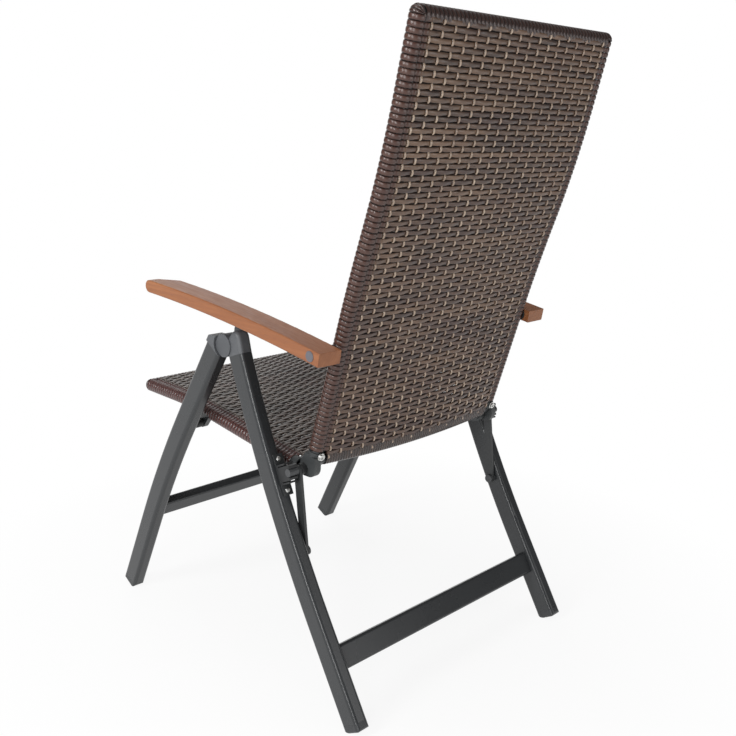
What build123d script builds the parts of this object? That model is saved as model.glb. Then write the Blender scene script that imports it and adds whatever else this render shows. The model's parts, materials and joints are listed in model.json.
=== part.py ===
"""Reclining folding garden armchair: bent aluminium legs, woven seat and back, wooden arms.

Millimetres, +Z up, front of the chair towards -Y, the sitter's left towards +X.
Heights are above the floor. Side-view places are measured fore and aft from the
line where the centre lines of the front and rear legs would cross. The finished
chair is then moved so that its origin is the middle of its footprint.
"""
from build123d import *
import os
from math import asin, atan2, cos, degrees, radians, sin

# Leg tubes
tube_deep = 39.5
tube_wide = 25.5
tube_wall = 1.6
tube_corner = 7.0
front_leg_proud = 6.0

# Rear legs, from the foot up: a straight stretch and one long bend
rear_foot_back = 318.7
rear_lean = 31.6
rear_straight = 181.9
rear_bend_radius = 2384.0
rear_bend = 11.1

# Front legs, from the foot up: straight, bend, straight
front_foot_fore = 368.8
front_lean = 27.0
front_low_straight = 201.8
front_bend_radius = 2323.0
front_bend = 6.7
front_high_straight = 190.7

# Floor caps on the legs
cap_length = 19.0
cap_low_round = 14.0
cap_high_round = 7.0
cap_side_round = 4.0
cap_flat_cut = 0.8
cap_plug = 26.0
plug_gap = 0.4

# Cross rails between the legs
rear_rail_height = 101.8
rear_rail_deep = 41.0
rear_rail_thick = 17.7
front_rail_height = 201.0
front_rail_deep = 33.0
front_rail_thick = 20.4
rail_wall = 1.5
rail_corner = 4.5

# Leg hinge and its moulded heads
hinge_back = -8.0
hinge_height = 581.0
knuckle_radius = 19.8
knuckle_gap = 0.7
knuckle_proud = 2.0
tongue_thick = 9.2
side_gap = 0.3
cheek_radius = 15.0
head_round = 13.0
head_top_back = 20.5
head_top_height = 597.0
cap_nose_rise = 16.0
cap_nose_round = 5.0
hinge_pin_radius = 4.0
hinge_pin_bury = 3.0

# Seat pivot on the front legs
seat_pivot_along = 459.0
pivot_pin_radius = 4.0
pivot_bush_radius = 8.0
lug_radius = 9.0
lug_thick = 10.0
lug_root = 34.0
lug_toe = 6.0

# Back axle, and the links that carry it on the rear legs
axle_back = 147.0
axle_height = 396.0
axle_radius = 5.0
axle_head_radius = 8.5
axle_head_thick = 4.0
axle_shoe_radius = 7.0
link_pin_along = 301.0
link_pin_radius = 4.0
link_thick = 5.0
link_width = 16.0
link_leg_gap = 3.5
pin_head_radius = 8.0
pin_head_thick = 4.0
bush_radius = 9.5
bush_gap = 0.5
bush_thick = 9.2

# Cradle on the rear leg that the axle rests in
cradle_inset = 9.5
cradle_wide = 18.0
plate_wide = 19.0
plate_length = 70.0
plate_thick = 2.5
plate_gap = 0.4
block_tall = 34.0
block_pad = 4.0
jaw_thick = 5.0
jaw_reach = 4.0
cup_gap = 0.4
rib_thick = 3.0
rivet_radius = 2.2
rivet_head = 4.4
rivet_dome = 1.8
rivet_inset = 8.5
rivet_grip = 5.0

# Round frame tubes of the seat and back, and the strands wrapped round them
frame_radius = 11.0
frame_wall = 1.4
frame_half = 220.5
wrap_gap = 0.3
wrap_thick = 1.2
panel_thick = 4.0
panel_sink = 0.3
hem_rail_radius = 7.0

# Back, side view, from the lower end up
back_behind = 6.6
back_clear = 22.0
back_lean = 16.8
back_low = 200.0
back_swell = 3.2
back_swell_length = 193.0
back_curl = 6.4
back_curl_length = 200.0
back_high = 100.0
back_hem_drop = 3.0
hem_bow = 9.0
hem_sag = 4.0
bow_length = 160.0
bow_slices = 5

# Seat, side view, from the rear end forward
seat_below = 8.0
seat_hem_along = 6.0
seat_clear = 24.0
seat_slope = 6.9
seat_low = 300.0
seat_roll_radius = 560.0
seat_roll = 6.9
seat_high = 96.0

# Moulded corner fittings at the axle
sleeve_length = 14.0
screw_along = 9.0
sleeve_wall = 2.0
lobe_radius = 18.0
lobe_back = 11.0
lobe_up = 6.0
eye_radius = 12.5
eye_outset = 1.3
eye_gap = 0.4
screw_radius = 3.0
screw_head = 5.2
screw_head_thick = 3.0
screw_socket = 1.6
washer_radius = 6.6
washer_thick = 1.2

# Wooden armrests, an arc in the side view
arm_gap = 3.5
arm_wide = 49.5
arm_thick = 22.6
arm_radius = 3740.0
arm_tilt = 9.5
arm_tail = 20.0
arm_length = 476.0
arm_tail_taper = 5.0
arm_tip_cut_length = 44.0
arm_tip_keep = 12.0
arm_edge = 2.0
arm_pivot_along = 199.0
arm_bolt_radius = 4.0
arm_cap_radius = 8.6
arm_cap_thick = 3.0
arm_cap_proud = 0.8
spacer_radius = 11.0

# Rack under each armrest, and the catch on the leg that its notches drop on
rack_inset = 3.5
rack_wide = 11.5
rack_wall = 1.5
rack_show = 4.6
rack_sunk = 10.0
rack_lead = 40.0
rack_front = 34.0
groove_gap = 0.3
catch_back = -1.0
catch_below = 1.6
catch_radius = 4.6
catch_gap = 0.3
catch_lip = 2.6
catch_side_gap = 0.4
catch_shoulder = 14.0
catch_waist = 10.0
catch_shoulder_drop = 18.0
post_base = 16.0
recline_limit = 42.0
recline_notches = 8
rack_screw_radius = 2.0
rack_screw_grip = 5.0
rack_screw_bury = 7.0
rack_screw_inset = 12.0

# Fits
running_gap = 0.05
overrun = 60.0
half = 0.5

# Places across the chair, from the seat and back tubes outwards
wrap_outer = frame_radius + wrap_gap + wrap_thick
eye_split = frame_half + eye_outset
bush_inner = frame_half + wrap_outer + bush_gap
link_inner = bush_inner + bush_thick + side_gap
rear_leg_inner = link_inner + link_thick + link_leg_gap
rear_leg_outer = rear_leg_inner + tube_wide
front_leg_outer = rear_leg_outer + front_leg_proud
front_leg_inner = front_leg_outer - tube_wide
cradle_outer = rear_leg_outer - cradle_inset
arm_inner = frame_half + wrap_outer + arm_gap

# Places in the side view
hinge_at = Vector(hinge_back, hinge_height)
axle_at = Vector(axle_back, axle_height)


def polar(distance, angle):
    """A step in the side view; angles turn from backward towards up."""
    return Vector(distance * cos(radians(angle)), distance * sin(radians(angle)))


def turned(step, angle):
    """A side-view step turned from backward towards up."""
    c, s = cos(radians(angle)), sin(radians(angle))
    return Vector(step.X * c - step.Y * s, step.X * s + step.Y * c)


def side_plane(x):
    return Plane(origin=(x, 0, 0), x_dir=(0, 1, 0), z_dir=(1, 0, 0))


def slab(profile, x_low, x_high):
    """A side-view outline made solid between two distances from the middle."""
    return extrude(side_plane(x_low) * profile, amount=x_high - x_low)


def disc(at, radius):
    return Pos(at.X, at.Y) * Circle(radius)


def rod(at, radius, x_low, x_high):
    return slab(disc(at, radius), x_low, x_high)


def hull_of(*shapes):
    edges = []
    for shape in shapes:
        edges += shape.edges()
    return make_hull(edges)


def bar(start, end, width):
    """A side-view strip with square ends."""
    step = end - start
    middle = (start + end) * half
    return Pos(middle.X, middle.Y) * Rot(0, 0, degrees(atan2(step.Y, step.X))) * Rectangle(step.length, width)


def in_side_view(path):
    return side_plane(0) * path


def cross_section(path, sketch, x=0):
    """A sketch set square across the start of a side-view path."""
    start = path @ 0
    along = path % 0
    where = Plane(origin=(x, start.Y, start.Z), x_dir=(1, 0, 0), z_dir=along)
    return where * sketch


def swept(path, sketch, x=0):
    moved = Pos(x, 0, 0) * path
    return sweep(cross_section(path, sketch, x), path=moved.wires()[0])


def both_sides(piece):
    return {"left": piece, "right": mirror(piece, about=Plane.YZ)}


def pair(piece):
    return group([piece, mirror(piece, about=Plane.YZ)])


def group(solids):
    return Compound([one for solid in solids for one in solid.solids()])


class Leg:
    """Centre line of one leg in the side view, from the floor to the seam under its head."""

    def __init__(self, foot, angle, low, radius, bend, high):
        self.foot = Vector(foot, 0)
        self.angle = angle
        lower = PolarLine(self.foot + polar(cap_length, angle), low - cap_length, angle)
        arc = JernArc(start=lower @ 1, tangent=lower % 1, radius=radius, arc_size=-bend)
        self.top_angle = angle - bend
        path = lower + arc
        if high:
            path = path + PolarLine(arc @ 1, high, self.top_angle)
        self.path = Wire(in_side_view(path).edges())
        self.seam = self.point(self.path.length + cap_length)

    def point(self, along):
        spot = self.path.position_at(along - cap_length, position_mode=PositionMode.LENGTH)
        return Vector(spot.Y, spot.Z)

    def direction(self, along):
        way = self.path.tangent_at(along - cap_length, position_mode=PositionMode.LENGTH)
        return degrees(atan2(way.Z, way.Y))

    def at_height(self, height):
        return self.foot + polar(height / sin(radians(self.angle)), self.angle)


rear_leg = Leg(rear_foot_back, 90 + rear_lean, rear_straight, rear_bend_radius, rear_bend, 0)
front_leg = Leg(-front_foot_fore, 90 - front_lean, front_low_straight, front_bend_radius,
                front_bend, front_high_straight)
link_pin_at = rear_leg.point(link_pin_along)
seat_pivot_at = front_leg.point(seat_pivot_along)


def tube_outline(shrink=0):
    return RectangleRounded(tube_wide - 2 * shrink, tube_deep - 2 * shrink, tube_corner - shrink)


def leg_tube(leg, x):
    return swept(leg.path, tube_outline() - tube_outline(tube_wall), x)


def plug_block(leg, along, angle, length, x):
    """The spigot that a moulding pushes into the end of a leg tube."""
    start = leg.point(along)
    where = Plane(origin=(x, start.X, start.Y), x_dir=(1, 0, 0), z_dir=polar_3d(angle))
    return extrude(where * tube_outline(tube_wall + plug_gap), amount=length)


def polar_3d(angle):
    step = polar(1, angle)
    return (0, step.X, step.Y)


class FloorCap:
    """Where a leg's floor cap ends: square to the leg, resting on its rounded low corner."""

    def __init__(self, leg):
        lean = radians(abs(leg.angle - 90))
        self.side = -1 if leg.angle > 90 else 1
        self.inset = tube_deep * half - cap_low_round
        reach = self.inset * sin(lean) + cap_low_round - cap_flat_cut
        self.end = reach / cos(lean) - cap_low_round
        self.across = polar(1, leg.angle - 90)
        self.leg = leg

    def corner(self, side, radius):
        up = self.leg.foot + polar(self.end + radius, self.leg.angle)
        return disc(up + self.across * (side * (tube_deep * half - radius)), radius)

    def side_outline(self):
        shoulder = self.leg.foot + polar(self.end + cap_low_round, self.leg.angle)
        top = bar(shoulder, self.leg.foot + polar(cap_length, self.leg.angle), tube_deep)
        return hull_of(self.corner(self.side, cap_low_round),
                       self.corner(-self.side, cap_high_round), top)

    def edge_block(self, x):
        """Seen along the leg's depth: a block with rounded lower corners."""
        foot = self.leg.foot
        where = Plane(origin=(x, foot.X, foot.Y), x_dir=(1, 0, 0), z_dir=polar_3d(self.leg.angle - 90))
        outline = RectangleRounded(tube_wide, 2 * cap_length, cap_side_round)
        return extrude(where * (Pos(0, -self.end - cap_length) * outline), amount=tube_deep, both=True)


def floor_cap(leg, x):
    """Moulded cap that closes the lower end of a leg, with a small flat on the floor."""
    ends = FloorCap(leg)
    low = leg.foot - polar(tube_deep, leg.angle)
    where = Plane(origin=(x, low.X, low.Y), x_dir=(1, 0, 0), z_dir=polar_3d(leg.angle))
    block = extrude(where * tube_outline(), amount=tube_deep + cap_length)
    block &= slab(ends.side_outline(), x - tube_wide, x + tube_wide)
    block &= ends.edge_block(x)
    cap = split(block, bisect_by=Plane.XY, keep=Keep.TOP)
    return cap + plug_block(leg, cap_length, leg.angle, cap_plug, x)


def cross_rail(leg, height, deep, thick, reach):
    """Rectangular rail welded between the inner faces of two legs."""
    centre = leg.at_height(height)
    outline = RectangleRounded(deep, thick, rail_corner)
    outline -= RectangleRounded(deep - 2 * rail_wall, thick - 2 * rail_wall, rail_corner - rail_wall)
    turned_outline = Pos(centre.X, centre.Y) * Rot(0, 0, leg.angle) * outline
    return slab(turned_outline, -reach, reach)


# Leg heads

hinge_tongue_low = front_leg_inner
hinge_tongue_high = front_leg_inner + tongue_thick
knuckle_low = hinge_tongue_high + side_gap
knuckle_high = rear_leg_outer + knuckle_proud


def rear_head_outline():
    """Side view of the rear moulding: the leg carried on to a rounded top."""
    seam = rear_leg.seam
    across = rear_leg.top_angle - 90
    front = seam - polar(tube_deep * half, across)
    back = seam + polar(tube_deep * half, across)
    rise = polar(head_round * half, rear_leg.top_angle)
    lower = Polyline(front, back, back + rise, front + rise, close=True)
    crown = disc(Vector(head_top_back, head_top_height), head_round)
    shoulder = disc(Vector(hinge_back + head_round, hinge_height), head_round)
    return hull_of(lower, crown, shoulder)


def rounded_rim(body):
    """Carries the tube's rounded corners on over the moulding, all but along the seam."""
    middle = rear_leg_outer - tube_wide * half
    seam = rear_leg.seam
    rims = []
    for edge in body.edges():
        spot = edge.center()
        on_face = abs(spot.X - middle) > tube_wide * half - running_gap
        if on_face and (Vector(spot.Y, spot.Z) - seam).length > running_gap:
            rims.append(edge)
    return fillet(rims, tube_corner)


def rear_head():
    body = rounded_rim(slab(rear_head_outline(), rear_leg_inner, rear_leg_outer))
    pocket = rod(hinge_at, knuckle_radius + knuckle_gap, hinge_tongue_low - side_gap, knuckle_low)
    body -= pocket
    knuckle = rod(hinge_at, knuckle_radius, knuckle_low, knuckle_high)
    cheek = rod(hinge_at, cheek_radius, rear_leg_inner, hinge_tongue_low - side_gap)
    body += knuckle
    body += cheek
    seam_along = rear_leg.path.length + cap_length
    body += plug_block(rear_leg, seam_along, rear_leg.top_angle + 180, cap_plug,
                       rear_leg_outer - tube_wide * half)
    body -= rod(hinge_at, hinge_pin_radius + running_gap, rear_leg_inner - overrun,
                knuckle_high - hinge_pin_bury)
    return body


def front_head():
    """Wedge cap on the front leg, with a tongue between the cheeks of the rear head."""
    seam = front_leg.seam
    across = front_leg.top_angle + 90
    front = seam + polar(tube_deep * half, across)
    back = seam - polar(tube_deep * half, across)
    nose = disc(front + polar(cap_nose_rise - cap_nose_round, front_leg.top_angle)
                - polar(cap_nose_round, across), cap_nose_round)
    lower = Polyline(front, back, front + polar(cap_nose_round, front_leg.top_angle), close=True)
    wedge = hull_of(lower, nose, disc(hinge_at, cheek_radius))
    body = slab(wedge, hinge_tongue_low, front_leg_outer)
    body -= rod(hinge_at, knuckle_radius + knuckle_gap, hinge_tongue_high, front_leg_outer + overrun)
    body += rod(hinge_at, knuckle_radius, hinge_tongue_low, hinge_tongue_high)
    seam_along = front_leg.path.length + cap_length
    body += plug_block(front_leg, seam_along, front_leg.top_angle + 180, cap_plug,
                       front_leg_outer - tube_wide * half)
    body -= rod(hinge_at, hinge_pin_radius + running_gap, hinge_tongue_low - overrun,
                front_leg_outer + overrun)
    return body


# Armrest geometry shared by the arm, its rack and the catch

class Arm:
    """The arc that the middle of an armrest follows in the side view, from its pivot forward."""

    def __init__(self, pivot):
        self.pivot = pivot
        self.centre = pivot - polar(arm_radius, 90 - arm_tilt)
        self.start_angle = 90 - arm_tilt

    def point(self, along, rise=0):
        angle = self.start_angle + degrees(along / arm_radius)
        return self.centre + polar(arm_radius + rise, angle)

    def angle(self, along):
        return self.start_angle + degrees(along / arm_radius)

    def strip(self, along_low, along_high, rise_low, rise_high):
        """A curved strip of the side view, between two distances and two heights."""
        middle = (along_low + along_high) * half
        low = [self.point(along, rise_low) for along in (along_low, middle, along_high)]
        high = [self.point(along, rise_high) for along in (along_high, middle, along_low)]
        outline = ThreePointArc(*low) + Line(low[2], high[0])
        outline += ThreePointArc(*high) + Line(high[2], low[0])
        return make_face(outline)

    def along_at(self, reach, rise):
        """How far along the arc a point is that lies a given distance from the pivot."""
        side_a, side_b = arm_radius, arm_radius + rise
        cosine = (side_a ** 2 + side_b ** 2 - reach ** 2) / (2 * side_a * side_b)
        spread = 2 * asin(((1 - cosine) * half) ** half)
        return arm_radius * spread


def back_start():
    along = polar(1, 90 - back_lean)
    rearward = polar(1, -back_lean)
    return axle_at + along * back_clear + rearward * back_behind


def back_line():
    """Side view of the back's side tubes, with a slight double curve."""
    lower = PolarLine(back_start(), back_low, 90 - back_lean)
    swell = JernArc(start=lower @ 1, tangent=lower % 1,
                    radius=back_swell_length / radians(back_swell), arc_size=-back_swell)
    curl = JernArc(start=swell @ 1, tangent=swell % 1,
                   radius=back_curl_length / radians(back_curl), arc_size=back_curl)
    upper = PolarLine(curl @ 1, back_high, 90 - back_lean - back_swell + back_curl)
    return lower, swell, curl, upper


def seat_start():
    along = polar(1, 180 - seat_slope)
    downward = polar(1, 270 - seat_slope)
    return axle_at + along * seat_clear + downward * seat_below


def seat_line():
    """Side view of the seat's side tubes: a long slope, then a roll to level at the front."""
    slope = PolarLine(seat_start(), seat_low, 180 - seat_slope)
    roll = JernArc(start=slope @ 1, tangent=slope % 1, radius=seat_roll_radius, arc_size=seat_roll)
    level = PolarLine(roll @ 1, seat_high, 180)
    return slope, roll, level


arm_pivot_at = back_start() + polar(arm_pivot_along, 90 - back_lean)
arm = Arm(arm_pivot_at)
arm_outer = arm_inner + arm_wide
arm_under = -arm_thick * half
seat_rise = arm_under - catch_below
catch_reach = arm_pivot_at.X - catch_back
catch_along = arm.along_at(catch_reach, seat_rise)
for turn in range(8):
    catch_along += arm.point(catch_along, seat_rise).X - catch_back
catch_at = arm.point(catch_along, seat_rise)


def arm_turn(recline):
    """How far the arm must turn on the back for a notch to sit on the catch."""
    pivot = axle_at + turned(arm_pivot_at - axle_at, -recline)
    reach = (catch_at - pivot).length
    seat = arm.point(arm.along_at(reach, seat_rise), seat_rise) - arm_pivot_at
    toward = catch_at - pivot
    turn = degrees(atan2(toward.Y, toward.X) - atan2(seat.Y, seat.X))
    return turn + recline


arm_level_ratio = arm_turn(recline_limit) / recline_limit


def catch_seen_from_arm(recline):
    """Where the catch lies on the resting arm when the back is reclined."""
    pivot = axle_at + turned(arm_pivot_at - axle_at, -recline)
    return arm_pivot_at + turned(catch_at - pivot, (1 - arm_level_ratio) * recline)


def notch_at(number):
    """Centre of a notch, on the arc that the notches share."""
    recline = recline_limit * number / (recline_notches - 1)
    pivot = axle_at + turned(arm_pivot_at - axle_at, -recline)
    return arm.point(arm.along_at((catch_at - pivot).length, seat_rise), seat_rise)


# Catch post on the inner side of each rear head

rack_low = arm_inner + rack_inset
rack_high = rack_low + rack_wide
catch_low = rack_low + rack_wall + catch_side_gap
catch_high = rack_high - rack_wall - catch_side_gap


def catch_post():
    """Upright on the hinge pin; its round top carries the armrest's rack."""
    shoulder_at = catch_at - Vector(0, catch_shoulder_drop)
    left = disc(shoulder_at - Vector(catch_shoulder - catch_radius, 0), catch_radius)
    right = disc(shoulder_at + Vector(catch_shoulder - catch_radius, 0), catch_radius)
    top = disc(catch_at, catch_radius)
    waist = disc(hinge_at, catch_waist)
    outline = hull_of(top, left, right)
    outline += hull_of(left, right, waist)
    post = slab(outline, catch_low, catch_high)
    post += rod(hinge_at, post_base, catch_low, rear_leg_inner)
    post -= rod(hinge_at, hinge_pin_radius + running_gap, catch_low - overrun, rear_leg_outer)
    return post


def hinge_pin():
    pin = rod(hinge_at, hinge_pin_radius, catch_low, knuckle_high - hinge_pin_bury)
    return pin + rod(hinge_at, pin_head_radius, catch_low - pin_head_thick * half, catch_low)


# Cradle

def cradle_frame():
    """Middle of the cradle on the rear face of the leg, and the leg's direction there."""
    along = link_pin_along
    for turn in range(24):
        way = rear_leg.direction(along)
        offset = (axle_at - rear_leg.point(along)).dot(polar(1, way))
        along += offset
    way = rear_leg.direction(along)
    face = rear_leg.point(along) + polar(tube_deep * half, way - 90)
    return along, face, way


cradle_at_along, cradle_face, cradle_way = cradle_frame()
cradle_out = cradle_way - 90
cup_radius = axle_shoe_radius + cup_gap
cradle_inner = cradle_outer - cradle_wide


def cradle_plate():
    """Strip riveted to the rear face of the leg, which holds the cradle block."""
    start = cradle_face + polar(plate_gap, cradle_out) - polar(plate_length * half, cradle_way)
    where = Plane(origin=(cradle_outer - plate_wide * half, start.X, start.Y), x_dir=(1, 0, 0),
                  z_dir=polar_3d(cradle_way))
    outline = Pos(0, plate_thick * half) * Rectangle(plate_wide, plate_thick)
    plate = extrude(where * outline, amount=plate_length)
    for rivet in rivet_points():
        plate -= rivet_shank(rivet, rivet_radius + running_gap)
    return plate


def rivet_points():
    reach = plate_length * half - rivet_inset
    return [cradle_face + polar(reach, cradle_way), cradle_face - polar(reach, cradle_way)]


def rivet_shank(at, radius):
    low = at - polar(rivet_grip, cradle_out)
    where = Plane(origin=(rivet_x, low.X, low.Y), z_dir=polar_3d(cradle_out))
    return extrude(where * Circle(radius), amount=rivet_grip + plate_gap + plate_thick)


rivet_x = cradle_outer - plate_wide * half


def rivet(at):
    """Domed blind rivet through the plate and the wall of the leg."""
    seat = at + polar(plate_gap + plate_thick, cradle_out)
    where = Plane(origin=(rivet_x, seat.X, seat.Y), z_dir=polar_3d(cradle_out))
    ball = (rivet_head ** 2 + rivet_dome ** 2) / (2 * rivet_dome)
    dome = where * (Pos(0, 0, rivet_dome - ball) * Sphere(ball))
    dome &= extrude(where * Circle(rivet_head), amount=rivet_dome)
    return rivet_shank(at, rivet_radius) + dome


def cradle_block():
    """Ribbed block with a cup, open to the rear, that the axle's end rests in."""
    base = cradle_face + polar(plate_gap + plate_thick, cradle_out)
    reach = (axle_at - base).dot(polar(1, cradle_out))
    jaw_half = cup_radius + jaw_thick
    open_way = degrees(atan2((axle_at - link_pin_at).Y, (axle_at - link_pin_at).X)) - 90
    mouth_start = axle_at + polar(jaw_reach, open_way)
    body = bar(base, axle_at, 2 * jaw_half) + disc(axle_at, jaw_half)
    body -= bar(mouth_start, mouth_start + polar(overrun, open_way), overrun)
    body -= disc(axle_at, cup_radius)
    body -= bar(axle_at, axle_at + polar(overrun, open_way), 2 * cup_radius)
    body += bar(base, base + polar(block_pad, cradle_out), block_tall)
    for side in (-1, 1):
        foot = base + polar(side * (block_tall - rib_thick) * half, cradle_way)
        body += bar(foot, foot + polar(reach - rib_thick, cradle_out), rib_thick)
    return slab(body, cradle_inner, cradle_outer)


# Links, axle and bushes

def link():
    """Flat bar from the pin on the rear leg up to the back axle."""
    outline = hull_of(disc(link_pin_at, link_width * half), disc(axle_at, link_width * half))
    outline -= disc(link_pin_at, link_pin_radius + running_gap)
    outline -= disc(axle_at, axle_radius + running_gap)
    return slab(outline, link_inner, link_inner + link_thick)


def link_pin():
    """Pin in the rear leg that the link swings on, with a round head on the inner side."""
    head_low = link_inner - side_gap - pin_head_thick
    pin = rod(link_pin_at, link_pin_radius, head_low, rear_leg_inner + tube_wide * half)
    pin += rod(link_pin_at, pin_head_radius, head_low, link_inner - side_gap)
    return pin + rod(link_pin_at, pin_head_radius, link_inner + link_thick + side_gap, rear_leg_inner)


def axle_bolt():
    """Axle through the fittings, bush and link, with a shoe that rests in the cradle."""
    head_high = frame_half - eye_radius - eye_gap
    bolt = rod(axle_at, axle_radius, head_high - axle_head_thick, cradle_outer)
    bolt += rod(axle_at, axle_head_radius, head_high - axle_head_thick, head_high)
    shoe_low = link_inner + link_thick + side_gap
    return bolt + rod(axle_at, axle_shoe_radius, shoe_low, cradle_outer)


def axle_bush():
    ring = disc(axle_at, bush_radius) - disc(axle_at, axle_radius + running_gap)
    return slab(ring, bush_inner, bush_inner + bush_thick)


# Seat and back frames

def frame_line(edges):
    return Wire(in_side_view(sum(edges[1:], edges[0])).edges())


back_path = frame_line(back_line())
seat_path = frame_line(seat_line())


def loop_solid(path, radius):
    """Two side tubes and the rail that joins them at the far end, in one sweep."""
    left = Pos(frame_half, 0, 0) * path
    right = Pos(-frame_half, 0, 0) * path
    line = Wire(left.edges() + [Edge.make_line(left @ 1, right @ 1)] + right.edges())
    return sweep(cross_section(path, Circle(radius), frame_half), path=line,
                 transition=Transition.ROUND)


def hem_rod(at, radius, bow):
    """The thin rail across the lower ends, straight or bowed at its middle."""
    if bow.length == 0:
        return rod(at, radius, -frame_half, frame_half)
    ends = [Vector(side * frame_half, at.X, at.Y) for side in (-1, 1)]
    line = ThreePointArc(ends[0], Vector(0, at.X + bow.X, at.Y + bow.Y), ends[1])
    return sweep(Plane(origin=line @ 0, z_dir=line % 0) * Circle(radius), path=line)


def frame_loop(path, hem):
    """Hollow tube frame, open at its lower ends, with a thin rail across near them."""
    tube = loop_solid(path, frame_radius) + hem_rod(hem[0], hem_rail_radius, hem[1])
    return tube - loop_solid(path, frame_radius - frame_wall)


def across(out, bow):
    """One face of the panel seen along the tubes: straight, or bowed at its middle."""
    if bow == 0:
        return Line((-frame_half, out), (frame_half, out))
    return ThreePointArc((-frame_half, out), (0, out + bow), (frame_half, out))


def panel_slice(bow):
    """The woven panel cut square across; its good face is about level with the wrapped tubes."""
    good = across(wrap_outer - panel_sink, bow)
    rear = across(wrap_outer - panel_sink - panel_thick, bow)
    return make_face(good + rear + Line(good @ 0, rear @ 0) + Line(good @ 1, rear @ 1))


def bowed_panel(path):
    """Lowest length of the back panel, which follows the bowed rail and flattens upwards."""
    start = path @ 0
    way = path % 0
    low = back_hem_drop + hem_sag * half
    slices = []
    for number in range(bow_slices + 1):
        share = number / bow_slices
        spot = start + way * ((bow_length + low) * share - low)
        where = Plane(origin=(0, spot.Y, spot.Z), x_dir=(1, 0, 0), z_dir=way)
        slices.append(where * panel_slice(hem_bow * (1 - share) ** 2 * (1 + 2 * share)))
    return loft(slices)


def woven_cover(path, hem, cut_low):
    """The woven panel and the strands wrapped round the frame, as one plain skin."""
    start = path @ 0
    way = path % 0
    trim = Plane(origin=(0, start.Y, start.Z), x_dir=(1, 0, 0), z_dir=way)
    across_all = Rectangle(2 * (frame_half + overrun), 2 * overrun)
    panel = swept(path, panel_slice(0))
    if hem[1].length > 0:
        panel -= extrude(trim * across_all, amount=bow_length)
        panel += bowed_panel(path)
    outer = loop_solid(path, wrap_outer) + panel
    outer += hem_rod(hem[0], hem_rail_radius + wrap_gap + wrap_thick, hem[1])
    outer -= loop_solid(path, frame_radius + wrap_gap)
    outer -= hem_rod(hem[0], hem_rail_radius + wrap_gap, hem[1])
    inner_half = frame_half - wrap_outer - sleeve_wall
    ends = extrude(trim * across_all, amount=cut_low)
    ends += extrude(trim * across_all, amount=-overrun)
    ends -= Box(2 * inner_half, 2 * hinge_height, 4 * hinge_height)
    return outer - ends


def hem_place(start, angle, along):
    """Middle of the thin rail at the tubes, set over so that its wraps meet the panel's face."""
    return start + polar(along, angle) + polar(frame_radius - hem_rail_radius, angle - 90)


back_hem = (hem_place(back_start(), 90 - back_lean, -back_hem_drop),
            polar(hem_bow, -back_lean) - polar(hem_sag, 90 - back_lean))
seat_hem = (hem_place(seat_start(), 180 - seat_slope, seat_hem_along), Vector(0, 0))


def sleeve_solid(path, length):
    """The part of a corner fitting that grips the end of a frame tube."""
    start = path @ 0
    along = path % 0
    where = Plane(origin=(frame_half, start.Y, start.Z), x_dir=(1, 0, 0), z_dir=along)
    return extrude(where * Circle(wrap_outer), amount=length)


def back_fitting():
    """Moulded corner of the back: a sleeve, an eye on the axle and a rounded heel."""
    start = back_start()
    heel = disc(axle_at + Vector(lobe_back, lobe_up), lobe_radius)
    eye = disc(axle_at, eye_radius)
    mouth = bar(start, start + polar(sleeve_length * half, 90 - back_lean), 2 * wrap_outer)
    lobe = slab(hull_of(heel, eye, mouth), eye_split, frame_half + wrap_outer)
    body = lobe + sleeve_solid(back_path, sleeve_length)
    bore = extrude(Plane(origin=(frame_half, start.X, start.Y), x_dir=(1, 0, 0),
                         z_dir=polar_3d(90 - back_lean)) * Circle(frame_radius + running_gap),
                   amount=overrun)
    body -= bore
    body -= hem_rod(back_hem[0], hem_rail_radius + running_gap, back_hem[1])
    body -= rod(axle_at, axle_radius + running_gap, eye_split - overrun, frame_half + overrun)
    body -= screw_shank(screw_radius + running_gap)
    return body - extrude(screw_plane(wrap_outer) * Circle(washer_radius + side_gap), amount=overrun)


def screw_plane(out):
    spot = back_start() + polar(screw_along, 90 - back_lean) + polar(out, -back_lean)
    return Plane(origin=(frame_half, spot.X, spot.Y), z_dir=polar_3d(-back_lean))


def screw_shank(radius):
    return extrude(screw_plane(frame_radius - frame_wall * 2) * Circle(radius),
                   amount=wrap_outer - frame_radius + frame_wall * 2)


def corner_screw():
    """Socket screw and washer that clamp the back tube in its fitting."""
    screw = screw_shank(screw_radius)
    seat = wrap_outer
    screw += extrude(screw_plane(seat) * Circle(washer_radius), amount=washer_thick)
    head = extrude(screw_plane(seat + washer_thick) * Circle(screw_head), amount=screw_head_thick)
    head -= extrude(screw_plane(seat + washer_thick + screw_head_thick * half)
                    * RegularPolygon(screw_socket * 2, 6), amount=screw_head_thick)
    return screw + head


def seat_fitting():
    """Moulded rear corner of the seat: a sleeve and an eye on the same axle."""
    start = seat_start()
    way = 180 - seat_slope
    eye = disc(axle_at, eye_radius)
    mouth = bar(start, start + polar(sleeve_length * half, way), 2 * wrap_outer)
    low = frame_half - wrap_outer
    lobe = slab(hull_of(eye, mouth), low, eye_split - eye_gap)
    body = lobe + sleeve_solid(seat_path, sleeve_length)
    bore = extrude(Plane(origin=(frame_half, start.X, start.Y), x_dir=(1, 0, 0),
                         z_dir=polar_3d(way)) * Circle(frame_radius + running_gap), amount=overrun)
    body -= bore
    body -= hem_rod(seat_hem[0], hem_rail_radius + running_gap, seat_hem[1])
    body -= rod(axle_at, axle_radius + running_gap, low - overrun, eye_split + overrun)
    return body


# Seat pivot lugs

lug_high = frame_half + wrap_outer - side_gap
lug_low = lug_high - lug_thick


def seat_tube_above(spot):
    """Nearest place on the seat's sloping tube to a point under it."""
    way = polar(1, 180 - seat_slope)
    return seat_start() + way * (spot - seat_start()).dot(way)


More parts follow.
